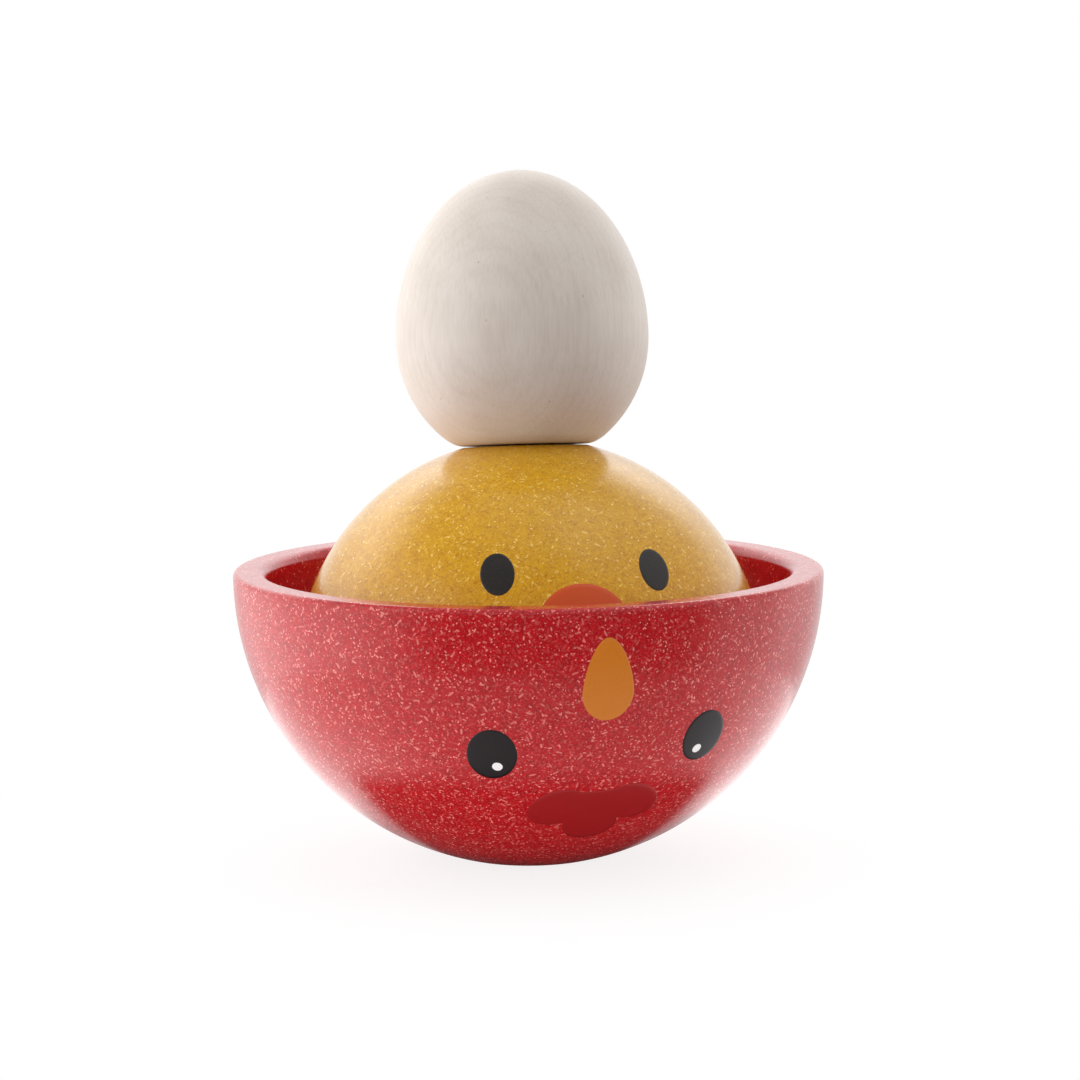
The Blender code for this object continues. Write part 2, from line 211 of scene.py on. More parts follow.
def dome_profile(radius, wall, skirt, flat, crown_round, outer_round, inner_round):
    """Outline of a hollow dome about its centre, from the crown, round the rim, to the inside's top."""
    quarter = math.pi / 2
    inner = radius - wall
    top = crown_height(radius, flat, crown_round)
    crown_centre = (flat, top - crown_round)
    shoulder = math.atan2(crown_centre[1], crown_centre[0])
    outer_centre, outer_angle = rim_round(radius, outer_round, skirt, -1)
    inner_centre, inner_angle = rim_round(inner, inner_round, skirt, 1)
    points = [(0.0, top)] + between((0.0, top), (flat, top))
    points += arc(crown_centre, crown_round, quarter, shoulder, ROUND_STEPS)
    points += arc((0, 0), radius, shoulder, outer_angle, DOME_STEPS)[1:]
    points += arc(outer_centre, outer_round, outer_angle, -quarter, ROUND_STEPS)[1:]
    inner_edge = arc(inner_centre, inner_round, -quarter, inner_angle - math.pi, ROUND_STEPS)
    points += between(points[-1], inner_edge[0]) + inner_edge
    points += arc((0, 0), inner, inner_angle, quarter, DOME_STEPS)[1:-1]
    points.append((0.0, inner))
    return points


def egg_profile(egg):
    """Outline of the egg from its top to the middle of its foot, which is at height 0."""
    foot = egg.foot_below_widest
    foot_angle = math.asin(foot / egg.below_widest)
    ease_angle = math.asin((foot - egg.foot_ease) / egg.below_widest)

    def above(turn):
        return egg.radius * math.cos(turn), foot + egg.above_widest * math.sin(turn)

    def below(turn):
        return egg.radius * math.cos(turn), foot - egg.below_widest * math.sin(turn)

    quarter = math.pi / 2
    points = [(0.0, foot + egg.above_widest)]
    points += [above(quarter * (1 - i / DOME_STEPS)) for i in range(1, DOME_STEPS + 1)]
    lower_steps = DOME_STEPS // 2
    points += [below(ease_angle * i / lower_steps) for i in range(1, lower_steps + 1)]
    start, corner = Vector(below(ease_angle)), Vector(below(foot_angle))
    end = corner - Vector((egg.foot_ease, 0))
    for i in range(1, ROUND_STEPS + 1):
        t = i / ROUND_STEPS
        bend = start * (1 - t) ** 2 + corner * 2 * t * (1 - t) + end * t ** 2
        points.append((bend.x, bend.y))
    points += between(points[-1], (0.0, 0.0))
    points.append((0.0, 0.0))
    return points


def turned(profile):
    """A closed solid turned about Z from a profile of (radius, height) that starts and ends on the axis."""
    bm = bmesh.new()
    line = [bm.verts.new((radius, 0, height)) for radius, height in profile]
    edges = [bm.edges.new(pair) for pair in zip(line, line[1:])]
    bmesh.ops.spin(bm, geom=line + edges, cent=(0, 0, 0), axis=(0, 0, 1),
                   angle=2 * math.pi, steps=SEGMENTS, use_merge=True)
    bmesh.ops.remove_doubles(bm, verts=bm.verts, dist=MERGE_DISTANCE)
    return bm


def add_piece(name, bm, material, place, body, nodes):
    """Turns a finished bmesh into a smooth piece at its place, riding on a body in place of CAD nodes."""
    bmesh.ops.recalc_face_normals(bm, faces=bm.faces)
    mesh = bpy.data.meshes.new(name)
    bm.to_mesh(mesh)
    bm.free()
    mesh.shade_smooth()
    mesh.materials.append(material)
    piece = bpy.data.objects.new(name, mesh)
    bpy.context.scene.collection.objects.link(piece)
    piece.matrix_world = place
    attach(piece, body)
    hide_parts(*nodes)
    return piece


def hen_place(hen):
    """Where the hen's dome stands: upside down on her crown."""
    crown = crown_height(hen.radius, hen.crown_flat, hen.crown_round)
    return Matrix.Translation((0, 0, crown)) @ Matrix.Rotation(math.pi, 4, "Y")


def hen_face_place(hen):
    """The hen's place with her printed face askew."""
    return hen_place(hen) @ Matrix.Rotation(-hen.askew, 4, "Y")


def chick_radius(hen, chick):
    """The chick's outer radius, from the room in the hen."""
    return hen.radius - hen.wall - chick.nest_gap


def chick_place(hen, chick):
    """Where the chick's dome sits: its rim's edge on the hen's round inside, tipped like a ball in a cup."""
    crown = crown_height(hen.radius, hen.crown_flat, hen.crown_round)
    reach = hen.radius - hen.wall - chick.seat_gap - chick.rim_outer_round
    rounding_out = chick_radius(hen, chick) - chick.rim_outer_round
    depth = chick.rim_outer_round - chick.skirt + math.sqrt(reach ** 2 - rounding_out ** 2)
    tip = (Matrix.Rotation(chick.turn, 4, "Z") @ Matrix.Rotation(chick.tip_side, 4, "Y")
           @ Matrix.Rotation(-chick.tip_back, 4, "X"))
    return Matrix.Translation((0, 0, crown)) @ tip @ Matrix.Translation((0, 0, -depth))


def egg_place(hen, chick):
    """Where the egg stands: on the chick's flat crown."""
    crown = crown_height(chick_radius(hen, chick), chick.crown_flat, chick.crown_round)
    return chick_place(hen, chick) @ Matrix.Translation((0, 0, crown + chick.seat_gap))


PRINT_POINTS = 144          # round an outline
PRINT_RINGS = 10            # from the outline to its middle
PRINT_EDGE = 0.00012        # width of the ink's soft edge, in metres
INK_PROUD = 0.00005         # height of one layer of ink over the dome
INK_SUNK = 0.00005          # how far a print's underside lies in the lacquer


def ellipse_outline(half_width, half_height, splay):
    """An upright ellipse whose top leans to +X by splay."""
    outline = []
    for i in range(PRINT_POINTS):
        turn = 2 * math.pi * i / PRINT_POINTS
        x, y = half_width * math.cos(turn), half_height * math.sin(turn)
        outline.append(Vector((x * math.cos(splay) + y * math.sin(splay),
                               y * math.cos(splay) - x * math.sin(splay))))
    return outline


def drop_outline(half_width, round_end, tip_end, taper):
    """A drop, widest at its origin, with its round end up and its narrower tip down."""
    outline = []
    for i in range(PRINT_POINTS):
        turn = 2 * math.pi * i / PRINT_POINTS
        x, y = half_width * math.cos(turn), math.sin(turn)
        if y < 0:
            x *= 1 + taper * y
        outline.append(Vector((x, y * (round_end if y > 0 else tip_end))))
    return outline


def reach_of_ellipse(hub, ray, centre, long_axis, half_length, half_width):
    """How far from the hub a ray leaves an ellipse, or 0 where it misses it."""
    wide_axis = Vector((-long_axis.y, long_axis.x))

    def scaled(vector):
        return Vector((vector.dot(long_axis) / half_length, vector.dot(wide_axis) / half_width))

    start, step = scaled(hub - centre), scaled(ray)
    along = -start.dot(step) / step.length_squared
    inside = along ** 2 - (start.length_squared - 1) / step.length_squared
    return max(0.0, along + math.sqrt(inside)) if inside > 0 else 0.0


def comb_outline(hen):
    """Three lobes on a straight base: for each direction, the farthest of the lobes and the base."""
    hub = Vector((0, -hen.comb_side_down))
    middle = Vector((0, hen.comb_middle_up))
    lobes = [(middle, Vector((0, 1)), hen.comb_middle_radius, hen.comb_middle_radius)]
    for side in (-1, 1):
        long_axis = Vector((side * math.sin(hen.comb_side_lean), math.cos(hen.comb_side_lean)))
        lobes.append((Vector((side * hen.comb_side_out, -hen.comb_side_down)), long_axis,
                      hen.comb_side_half_length, hen.comb_side_half_width))
    base_depth = hen.comb_base_down - hen.comb_side_down
    outline = []
    for i in range(PRINT_POINTS):
        turn = 2 * math.pi * i / PRINT_POINTS
        ray = Vector((math.cos(turn), math.sin(turn)))
        reach = max(reach_of_ellipse(hub, ray, *lobe) for lobe in lobes)
        if ray.y < 0 and abs(ray.x) * base_depth <= hen.comb_side_out * -ray.y:
            reach = max(reach, base_depth / -ray.y)
        outline.append(hub + ray * reach)
    return outline, hub


def printed(outline, hub, dome_radius, azimuth, latitude, layers=1):
    """A print on a dome: its outline bent over the dome, its face a hair proud with a soft edge.

    Azimuth is counted from the face and latitude from the rim. A second layer lies on the first.
    """
    normal = Vector((math.sin(azimuth) * math.cos(latitude),
                     -math.cos(azimuth) * math.cos(latitude), math.sin(latitude)))
    across = Vector((math.cos(azimuth), math.sin(azimuth), 0))
    up = normal.cross(across)

    def on_dome(point, level):
        direction = normal + across * (point.x / dome_radius) + up * (point.y / dome_radius)
        return direction.normalized() * (dome_radius + level)

    reach = max((point - hub).length for point in outline)
    shares = [1.0, 1.0 - PRINT_EDGE / reach]
    shares += [shares[1] * (1 - i / PRINT_RINGS) for i in range(1, PRINT_RINGS)]
    face = [-INK_SUNK / 2] + [INK_PROUD * layers] * (len(shares) - 1)
    under = [-INK_SUNK] * len(shares)
    bm = bmesh.new()
    sheets = []
    for levels in (face, under):
        rings = []
        for share, level in zip(shares, levels):
            flat = [hub + (point - hub) * share for point in outline]
            rings.append([bm.verts.new(on_dome(point, level)) for point in flat])
        for outside, inside in zip(rings, rings[1:]):
            bridge(bm, outside, inside)
        centre = bm.verts.new(on_dome(hub, levels[-1]))
        for a, b in zip(rings[-1], rings[-1][1:] + rings[-1][:1]):
            bm.faces.new((a, b, centre))
        sheets.append(rings[0])
    bridge(bm, *sheets)
    return bm


def bridge(bm, ring_a, ring_b):
    """Quads between two rings of as many points."""
    for i, start in enumerate(ring_a):
        j = (i + 1) % len(ring_a)
        bm.faces.new((start, ring_a[j], ring_b[j], ring_b[i]))


class Nodes:
    """Adds and links nodes in one node tree."""

    def __init__(self, tree):
        self.tree = tree

    def add(self, kind, inputs=None, **settings):
        """A node with its settings; an input is a value, or a socket that is linked to it."""
        node = self.tree.nodes.new(kind)
        for name, value in settings.items():
            setattr(node, name, value)
        for key, value in (inputs or {}).items():
            if isinstance(value, bpy.types.NodeSocket):
                self.tree.links.new(value, node.inputs[key])
            else:
                node.inputs[key].default_value = value
        return node

    def math(self, operation, a, b=0.0):
        """The value of a Math node."""
        return self.add("ShaderNodeMath", {0: a, 1: b}, operation=operation).outputs["Value"]

    def vector(self, operation, a, b=(0, 0, 0)):
        """The vector of a Vector Math node."""
        return self.add("ShaderNodeVectorMath", {0: a, 1: b}, operation=operation).outputs["Vector"]

    def scaled(self, vector, factor):
        """A vector times a number."""
        node = self.add("ShaderNodeVectorMath", {"Vector": vector, "Scale": factor}, operation="SCALE")
        return node.outputs["Vector"]

    def dot(self, a, b):
        """The dot product of two vectors."""
        return self.add("ShaderNodeVectorMath", {0: a, 1: b}, operation="DOT_PRODUCT").outputs["Value"]

    def reach(self, vector):
        """The length of a vector."""
        return self.add("ShaderNodeVectorMath", {0: vector}, operation="LENGTH").outputs["Value"]

    def mix(self, share, a, b):
        """A colour between a and b."""
        node = self.add("ShaderNodeMix", {"Factor": share, "A": a, "B": b}, data_type="RGBA")
        return node.outputs["Result"]

    def ramp(self, value, start, end, low=0.0, high=1.0):
        """A value eased from low at start to high at end."""
        inputs = {"Value": value, "From Min": start, "From Max": end, "To Min": low, "To Max": high}
        node = self.add("ShaderNodeMapRange", inputs, interpolation_type="SMOOTHSTEP")
        return node.outputs["Result"]

    def noise(self, vector, scale, detail=2.0, roughness=0.5, distortion=0.0):
        """A soft noise from 0 to 1."""
        node = self.add("ShaderNodeTexNoise", {"Vector": vector, "Scale": scale, "Detail": detail,
                                               "Roughness": roughness, "Distortion": distortion})
        return node.outputs["Fac"]

    def place_in_mm(self):
        """The point on the surface in the piece's own frame, in millimetres."""
        return self.scaled(self.add("ShaderNodeTexCoord").outputs["Object"], TO_MM)


def new_group(name, inputs, outputs):
    """An empty node group with named sockets; returns its nodes, its input sockets and its output node."""
    group = bpy.data.node_groups.new(name, "ShaderNodeTree")
    for direction, sockets in (("INPUT", inputs), ("OUTPUT", outputs)):
        for socket, kind in sockets:
            group.interface.new_socket(name=socket, in_out=direction, socket_type="NodeSocket" + kind)
    nodes = Nodes(group)
    return nodes, nodes.add("NodeGroupInput").outputs, nodes.add("NodeGroupOutput").inputs


SHORTEST_FIBRE = 0.45       # share of the full length
FIBRE_SQUARENESS = 3.0      # power that gives the fibres blunt ends
FIBRE_EDGE = (1.0, 0.2)     # from outside the fibre to its full tone


def fibre_group():
    """Short fibres that lie in the surface: at most one to a cell, each with its own direction and tone.

    Cell, Length and Width are in millimetres; Length and Width are half sizes. Share is how many cells
    hold a fibre.
    """
    name = "Fibre flecks"
    if name in bpy.data.node_groups:
        return bpy.data.node_groups[name]
    nodes, given, out = new_group(
        name, (("Vector", "Vector"), ("Cell", "Float"), ("Length", "Float"), ("Width", "Float"),
               ("Share", "Float")), (("Mask", "Float"), ("Tone", "Float")))
    per_cell = nodes.math("DIVIDE", 1.0, given["Cell"])
    place = nodes.scaled(given["Vector"], per_cell)
    cell = nodes.add("ShaderNodeTexVoronoi", {"Vector": place, "Scale": 1.0})
    away = nodes.vector("SUBTRACT", place, cell.outputs["Position"])
    world_normal = nodes.add("ShaderNodeNewGeometry").outputs["Normal"]
    normal = nodes.add("ShaderNodeVectorTransform", {"Vector": world_normal}, vector_type="NORMAL",
                       convert_from="WORLD", convert_to="OBJECT").outputs["Vector"]
    flat = nodes.vector("SUBTRACT", away, nodes.scaled(normal, nodes.dot(away, normal)))
    random = nodes.vector("SUBTRACT", cell.outputs["Color"], (0.5, 0.5, 0.5))
    lying = nodes.vector("SUBTRACT", random, nodes.scaled(normal, nodes.dot(random, normal)))
    direction = nodes.vector("NORMALIZE", lying)
    along = nodes.dot(flat, direction)
    across = nodes.reach(nodes.vector("SUBTRACT", flat, nodes.scaled(direction, along)))
    dice = nodes.add("ShaderNodeTexWhiteNoise", {"Vector": cell.outputs["Position"]})
    split = nodes.add("ShaderNodeSeparateColor", {"Color": dice.outputs["Color"]}).outputs
    own_length = nodes.ramp(split["Red"], 0.0, 1.0, SHORTEST_FIBRE, 1.0)
    half_length = nodes.math("MULTIPLY", nodes.math("MULTIPLY", given["Length"], per_cell), own_length)
    half_width = nodes.math("MULTIPLY", given["Width"], per_cell)
    lengthwise = nodes.math("ABSOLUTE", nodes.math("DIVIDE", along, half_length))
    sideways = nodes.math("DIVIDE", across, half_width)
    edge = nodes.math("ADD", nodes.math("POWER", lengthwise, FIBRE_SQUARENESS),
                      nodes.math("POWER", sideways, FIBRE_SQUARENESS))
    shape = nodes.ramp(edge, *FIBRE_EDGE)
    chosen = nodes.math("LESS_THAN", split["Green"], given["Share"])
    nodes.tree.links.new(nodes.math("MULTIPLY", shape, chosen), out["Mask"])
    nodes.tree.links.new(split["Blue"], out["Tone"])
    return nodes.tree


PULP_SCALE = 2.3            # fine mottle of the dyed body, in waves to a millimetre
PULP_EDGES = (0.34, 0.58)   # from the full shade to the full body
PULP_DEPTH = 0.8            # how much of the dye's tone the fine mottle decides
CLUMP_SCALE = 0.5           # broad mottle
CLUMP_EDGES = (0.32, 0.62)
CLUMP_DEPTH = 0.2
MAT_SCALE = 1.3             # fine mat of fibres
MAT_EDGES = (0.52, 0.68)
MAT_STRENGTH = 0.16         # how pale that mat is
WAVE_SCALE = 0.14           # waves to a millimetre in the lacquer
WAVE_HEIGHT = 4.0           # of those waves, next to the relief of the pulp
PULP_RELIEF = 0.5
FIBRE_RELIEF = -0.35        # fibres lie a little lower than the pulp
BODY_ROUGHNESS = (0.19, 0.30)  # plain body, and a fibre
COAT_WEIGHTS = (0.25, 0.85)  # lacquer over the plain body, and over a fibre
COAT_ON_PULP = (0.5, 0.7, 0.0, 0.35)  # how the lacquer thickens with the pulp, and with a fibre
COAT_ON_FIBRE = (0.1, 0.8)
INSIDE_FIBRES = 0.30        # share of the fibres that the dye leaves pale on a shell's inside
INSIDE_EDGE = (0.8, 2.8)    # from where to where they grow more, in mm out from the inside wall
FEW_BRIGHT = 2.2            # power that leaves few fibres bright
FAINTEST_FIBRE = 0.2        # tone of the faintest fibre, as a share of the brightest
# Fibre layers of the sawdust composite: cell, half length and half width in mm, share, strength
FIBRE_LAYERS = (
    (1.90, 0.75, 0.21, 0.80, 0.65),
    (1.15, 0.44, 0.16, 0.72, 0.90),
    (0.75, 0.22, 0.15, 0.50, 1.00),
)


def composite_group():
    """Pressed sawdust dyed through: a mottled body with pale fibres in layers of three sizes.

    Inside is the radius of the shell's inside in millimetres, where fewer fibres show.
    """
    name = "Sawdust composite"
    if name in bpy.data.node_groups:
        return bpy.data.node_groups[name]
    nodes, given, out = new_group(
        name, (("Vector", "Vector"), ("Body", "Color"), ("Shade", "Color"), ("Fibre", "Color"),
               ("Fibre Share", "Float"), ("Inside", "Float")),
        (("Color", "Color"), ("Roughness", "Float"), ("Coat", "Float"), ("Height", "Float")))
    pulp = nodes.noise(given["Vector"], PULP_SCALE, detail=3.0, roughness=0.65, distortion=1.2)
    clumps = nodes.noise(given["Vector"], CLUMP_SCALE, detail=2.0)
    dyed = nodes.math("ADD", nodes.ramp(pulp, *PULP_EDGES, 0.0, PULP_DEPTH),
                      nodes.ramp(clumps, *CLUMP_EDGES, 0.0, CLUMP_DEPTH))
    tone = nodes.mix(dyed, given["Shade"], given["Body"])
    mat = nodes.noise(given["Vector"], MAT_SCALE, detail=2.0, distortion=3.0)
    fibres = nodes.ramp(mat, *MAT_EDGES, 0.0, MAT_STRENGTH)
    off_inside = nodes.math("SUBTRACT", nodes.reach(given["Vector"]), given["Inside"])
    more_outside = nodes.ramp(off_inside, *INSIDE_EDGE, INSIDE_FIBRES, 1.0)
    shown = nodes.math("MULTIPLY", given["Fibre Share"], more_outside)
    for cell, half_length, half_width, share, strength in FIBRE_LAYERS:
        layer = nodes.add("ShaderNodeGroup", node_tree=fibre_group())
        nodes.tree.links.new(given["Vector"], layer.inputs["Vector"])
        layer.inputs["Cell"].default_value = cell
        layer.inputs["Length"].default_value = half_length
        layer.inputs["Width"].default_value = half_width
        nodes.tree.links.new(nodes.math("MULTIPLY", shown, share), layer.inputs["Share"])
        few_bright = nodes.math("POWER", layer.outputs["Tone"], FEW_BRIGHT)
        level = nodes.ramp(few_bright, 0.0, 1.0, FAINTEST_FIBRE * strength, strength)
        seen = nodes.math("MULTIPLY", layer.outputs["Mask"], level)
        fibres = nodes.math("MAXIMUM", fibres, seen)
    nodes.tree.links.new(nodes.mix(fibres, tone, given["Fibre"]), out["Color"])
    nodes.tree.links.new(nodes.ramp(fibres, 0.0, 1.0, *BODY_ROUGHNESS), out["Roughness"])
    thick = nodes.math("MAXIMUM", nodes.ramp(pulp, *COAT_ON_PULP), nodes.ramp(fibres, *COAT_ON_FIBRE))
    nodes.tree.links.new(nodes.ramp(thick, 0.0, 1.0, *COAT_WEIGHTS), out["Coat"])
    waves = nodes.noise(given["Vector"], WAVE_SCALE, detail=1.0)
    relief = nodes.math("ADD", nodes.math("MULTIPLY", pulp, PULP_RELIEF),
                        nodes.math("MULTIPLY", fibres, FIBRE_RELIEF))
    relief = nodes.math("ADD", relief, nodes.math("MULTIPLY", waves, WAVE_HEIGHT))
    nodes.tree.links.new(relief, out["Height"])
    return nodes.tree


INK_GRAIN = 2.6             # waves to a millimetre in the ink
INK_THIN = (0.4, 0.8)       # from where to where that grain is thin ink
INK_ROUGH = (0.2, 0.8)      # and from smooth to rough
INK_ROUGHNESS = (0.30, 0.42)


def ink_group():
    """Printed ink: a nearly even colour with a faint mottle from the surface under it."""
    name = "Printed ink"
    if name in bpy.data.node_groups:
        return bpy.data.node_groups[name]
    nodes, given, out = new_group(
        name, (("Vector", "Vector"), ("Ink", "Color"), ("Under", "Color"), ("Mottle", "Float")),
        (("Color", "Color"), ("Roughness", "Float"), ("Height", "Float")))
    fine = nodes.noise(given["Vector"], INK_GRAIN, detail=4.0, roughness=0.75)
    thin = nodes.math("MULTIPLY", nodes.ramp(fine, *INK_THIN), given["Mottle"])
    nodes.tree.links.new(nodes.mix(thin, given["Ink"], given["Under"]), out["Color"])
    nodes.tree.links.new(nodes.ramp(fine, *INK_ROUGH, *INK_ROUGHNESS), out["Roughness"])
    nodes.tree.links.new(fine, out["Height"])
    return nodes.tree


SHELL_GLOSS = 0.31          # specular levels
INK_GLOSS = 0.42
COAT_ROUGHNESS = 0.2
SHELL_RELIEF = 0.02         # mm
INK_RELIEF = 0.006


def finish_from_group(name, group, values, bump_mm, gloss):
    """A material whose Principled BSDF takes its colour, roughness and relief from a node group."""
    material = bpy.data.materials.new(name)
    material.use_nodes = True
    nodes = Nodes(material.node_tree)
    shader = material.node_tree.nodes["Principled BSDF"]
    surface = nodes.add("ShaderNodeGroup", node_tree=group)
    nodes.tree.links.new(nodes.place_in_mm(), surface.inputs["Vector"])
    for socket, value in values.items():
        surface.inputs[socket].default_value = value
    nodes.tree.links.new(surface.outputs["Color"], shader.inputs["Base Color"])
    nodes.tree.links.new(surface.outputs["Roughness"], shader.inputs["Roughness"])
    if "Coat" in surface.outputs:
        nodes.tree.links.new(surface.outputs["Coat"], shader.inputs["Coat Weight"])
        shader.inputs["Coat Roughness"].default_value = COAT_ROUGHNESS
    shader.inputs["Specular IOR Level"].default_value = gloss
    bump = nodes.add("ShaderNodeBump", {"Height": surface.outputs["Height"], "Strength": 1.0,
                                        "Distance": bump_mm / TO_MM})
    nodes.tree.links.new(bump.outputs["Normal"], shader.inputs["Normal"])
    return material


def composite_finish(name, animal, fibre_share, inner_radius):
    """The lacquered composite of a shell."""
    values = {"Body": (*animal.body, 1), "Shade": (*animal.shade, 1), "Fibre": (*animal.fibre, 1),
              "Fibre Share": fibre_share, "Inside": inner_radius * TO_MM}
    return finish_from_group(name, composite_group(), values, SHELL_RELIEF, SHELL_GLOSS)


def ink_finish(name, ink, under, mottle):
    """Ink printed on a shell."""
    values = {"Ink": (*ink, 1), "Under": (*under, 1), "Mottle": mottle}
    return finish_from_group(name, ink_group(), values, INK_RELIEF, INK_GLOSS)


EYE_SPLAY = math.radians(8.5)   # the tops of the eyes lean outwards
SIDES = (("left", 1), ("right", -1))
HEN_FIBRE_SHARE = 1.0           # how many of the fibres show
CHICK_FIBRE_SHARE = 0.6
# How much of the shell shows through the thin places of the inks
BEAK_MOTTLE = 0.25
COMB_MOTTLE = 0.25
CHICK_BEAK_MOTTLE = 0.2
EYE_MOTTLE = 0.04
GLINT_MOTTLE = 0.06


class NESTINGTOY_OT_hen_shell(bpy.types.Operator):
    """Add the hen's hollow dome, which lies on its crown as a bowl"""
    bl_idname = "nesting_toy.hen_shell"
    bl_label = "Hen shell"

    def execute(self, context):
        hen = context.scene.toy_hen
        profile = dome_profile(hen.radius, hen.wall, hen.skirt, hen.crown_flat, hen.crown_round,
                               hen.rim_outer_round, hen.rim_inner_round)
        finish = composite_finish("hen_lacquered_composite", hen, HEN_FIBRE_SHARE, hen.radius - hen.wall)
        add_piece("hen_shell", turned(profile), finish, hen_place(hen),
                  "hen", ["hen_bowl"])
        return {"FINISHED"}


class NESTINGTOY_OT_hen_face(bpy.types.Operator):
    """Print the hen's beak, comb and eyes"""
    bl_idname = "nesting_toy.hen_face"
    bl_label = "Hen face"

    def execute(self, context):
        hen = context.scene.toy_hen
        place = hen_face_place(hen)
        beak = drop_outline(hen.beak_half_width, hen.beak_round_end, hen.beak_tip_end, hen.beak_taper)
        beak_ink = ink_finish("hen_beak_print", hen.beak, hen.body, BEAK_MOTTLE)
        mark = printed(beak, Vector((0, 0)), hen.radius, 0, hen.beak_latitude)
        add_piece("hen_beak_print", mark, beak_ink, place, "hen", ["hen_beak"])
        comb, hub = comb_outline(hen)
        comb_ink = ink_finish("comb_print", hen.comb, hen.body, COMB_MOTTLE)
        mark = printed(comb, hub, hen.radius, 0, hen.comb_latitude)
        add_piece("hen_comb_print", mark, comb_ink, place, "hen", ["hen_comb"])
        eye_ink = ink_finish("hen_eye_print", hen.eye, hen.body, EYE_MOTTLE)
        white_ink = ink_finish("glint_print", hen.glint, hen.eye, GLINT_MOTTLE)
        for word, side in SIDES:
            spot = (hen.radius, side * hen.eye_azimuth, hen.eye_latitude)
            eye = ellipse_outline(hen.eye_half_width, hen.eye_half_height, side * EYE_SPLAY)
            add_piece(f"hen_{word}_eye_print", printed(eye, Vector((0, 0)), *spot), eye_ink,
                      place, "hen", [f"hen_{word}_eye"])
            middle = Vector((-side * hen.glint_inward, hen.glint_up))
            dot = [middle + point for point in ellipse_outline(hen.glint_radius, hen.glint_radius, 0)]
            add_piece(f"hen_{word}_glint_print", printed(dot, middle, *spot, layers=2), white_ink,
                      place, "hen", [f"hen_{word}_eye_glint"])
        return {"FINISHED"}


class NESTINGTOY_OT_chick_shell(bpy.types.Operator):
    """Add the chick's hollow dome, which sits in the hen"""
    bl_idname = "nesting_toy.chick_shell"
    bl_label = "Chick shell"

    def execute(self, context):
        hen, chick = context.scene.toy_hen, context.scene.toy_chick
        radius = chick_radius(hen, chick)
        profile = dome_profile(radius, chick.wall, chick.skirt, chick.crown_flat, chick.crown_round,
                               chick.rim_outer_round, chick.rim_inner_round)
        finish = composite_finish("chick_lacquered_composite", chick, CHICK_FIBRE_SHARE, radius - chick.wall)
        add_piece("chick_shell", turned(profile), finish, chick_place(hen, chick), "chick", ["chick_dome"])
        return {"FINISHED"}


class NESTINGTOY_OT_chick_face(bpy.types.Operator):
    """Print the chick's beak and eyes"""
    bl_idname = "nesting_toy.chick_face"
    bl_label = "Chick face"

    def execute(self, context):
        hen, chick = context.scene.toy_hen, context.scene.toy_chick
        radius, place = chick_radius(hen, chick), chick_place(hen, chick)
        tip_end = radius * math.tan(chick.beak_latitude - chick.beak_above_rim / radius)
        beak = drop_outline(chick.beak_half_width, chick.beak_round_end, tip_end, chick.beak_taper)
        beak_ink = ink_finish("chick_beak_print", chick.beak, chick.shade, CHICK_BEAK_MOTTLE)
        mark = printed(beak, Vector((0, 0)), radius, 0, chick.beak_latitude)
        add_piece("chick_beak_print", mark, beak_ink, place, "chick", ["chick_beak"])
        eye_ink = ink_finish("chick_eye_print", hen.eye, chick.body, EYE_MOTTLE)
        for word, side in SIDES:
            eye = ellipse_outline(chick.eye_half_width, chick.eye_half_height, side * EYE_SPLAY)
            mark = printed(eye, Vector((0, 0)), radius, side * chick.eye_azimuth, chick.eye_latitude)
            add_piece(f"chick_{word}_eye_print", mark, eye_ink,
                      place, "chick", [f"chick_{word}_eye"])
        return {"FINISHED"}


# The egg's wood; scales are in waves to a millimetre, and a stretch is how few of them there are along the
# grain. Edges are from where to where an effect grows, and a depth is how much it shows
PITH = (-34.0, -58.0, 0.0)      # the tree's middle, beside the egg, in mm
RING_SPACING = 1.9              # mm
RING_STRETCH = 0.02
RING_EDGES = (0.2, 1.0)
RING_DEPTH = 0.07
WAVER_SCALE = 0.05
WAVER = 5.0                     # how far the rings wander, in mm
GRAIN_SCALE = 2.4
GRAIN_STRETCH = 0.07
GRAIN_EDGES = (0.35, 0.75)
GRAIN_DEPTH = 0.22
GRAIN_RELIEF = 0.5              # next to a pore's
PATCH_SCALE = 0.07              # where the wash is thin
PATCH_EDGES = (0.3, 0.7)
PATCH_DEPTH = 0.3
PORE_SCALE = 0.42
PORE_STRETCH = 0.35
PORE_EDGES = (0.07, 0.02)
PORE_DEPTH = 0.5
WOOD_ROUGH = (0.3, 0.8)         # where the grain is smooth and rough
WOOD_ROUGHNESS = (0.42, 0.54)
WOOD_RELIEF = 0.02              # mm


